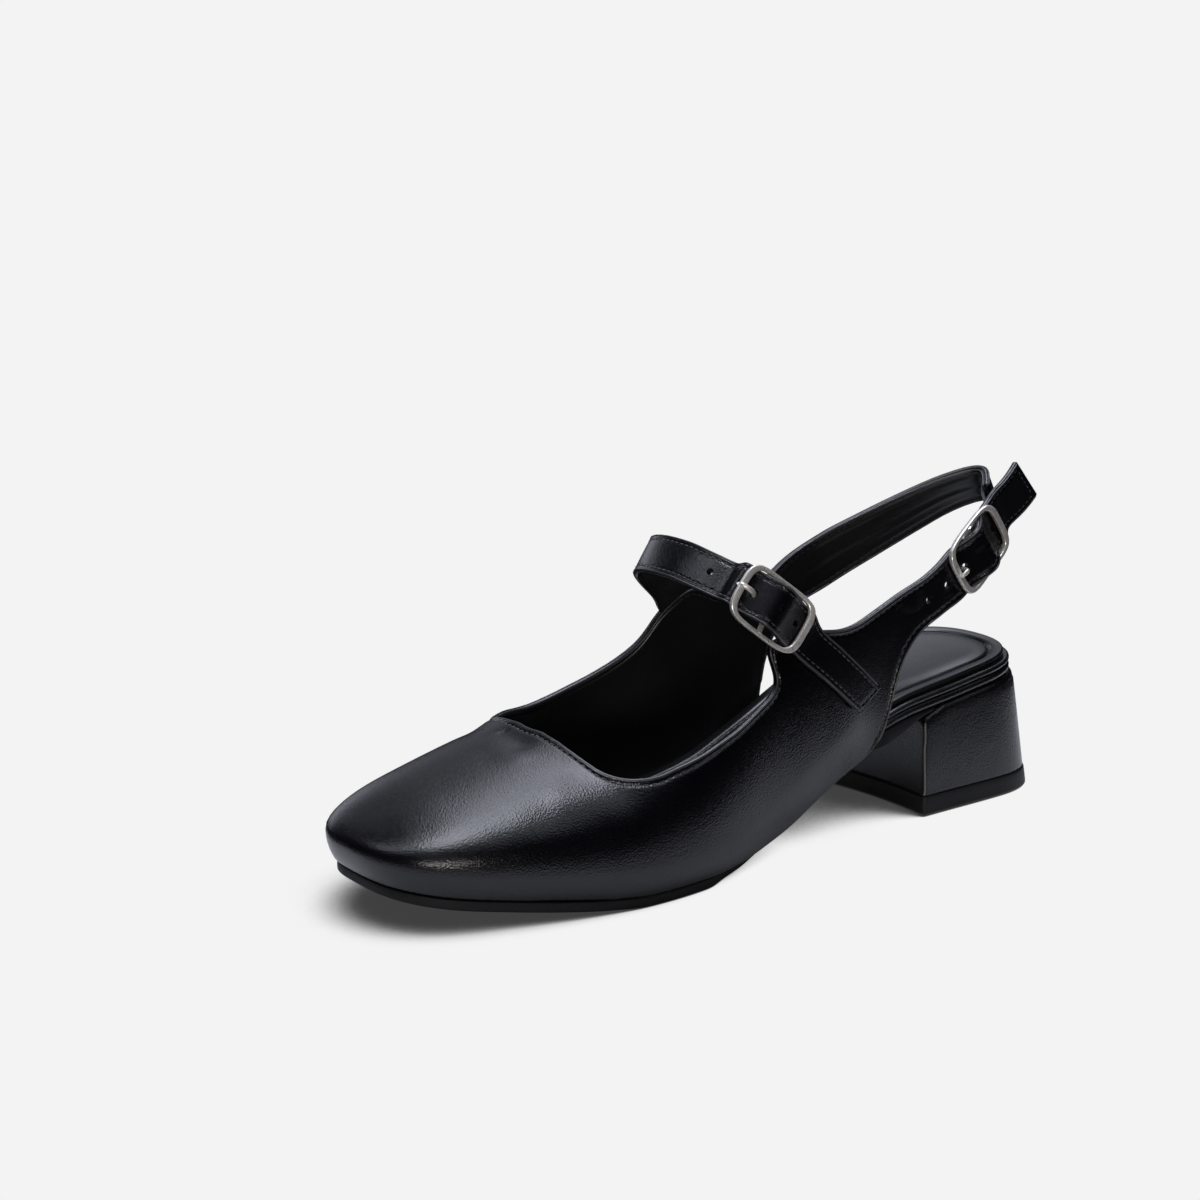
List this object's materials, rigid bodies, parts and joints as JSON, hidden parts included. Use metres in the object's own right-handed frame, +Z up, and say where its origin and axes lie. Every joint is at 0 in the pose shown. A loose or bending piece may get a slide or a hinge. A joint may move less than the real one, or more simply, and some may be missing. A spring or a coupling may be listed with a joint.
{
  "type": "slingback shoe",
  "caption": "Left women's slingback shoe with a square-toe closed vamp, buckled instep strap, buckled sling and a low block heel.",
  "frame": {"origin": "centre of the bounding box on the ground plane", "axes": "+Z up, the toe points to -Y, +X is the outer side of the left foot"},
  "size_m": [0.084, 0.2504, 0.108],
  "materials": {
    "sole_rubber": "matt moulded sheet",
    "heel_cover": "smooth black, wrapped",
    "top_lift_rubber": "matt",
    "platform_cover": "smooth black wrap",
    "sock_lining": "padded, satin",
    "upper_leather": "smooth black faux leather, semi gloss",
    "strap_leather": "smooth black faux leather, semi gloss",
    "elastic": "ribbed woven elastic",
    "satin_nickel": "satin"
  },
  "bodies": {
    "root": {"outsole": "sole_rubber", "heel_block": "heel_cover", "heel_top_lift": "top_lift_rubber", "insole_board": "platform_cover", "insole_sock": "sock_lining", "upper": "upper_leather", "instep_strap": "strap_leather", "instep_gore": "elastic", "sling_gore": "elastic", "instep_buckle": "satin_nickel", "sling_buckle": "satin_nickel", "instep_prong": "satin_nickel", "sling_prong": "satin_nickel"}
  },
  "joints": []
}
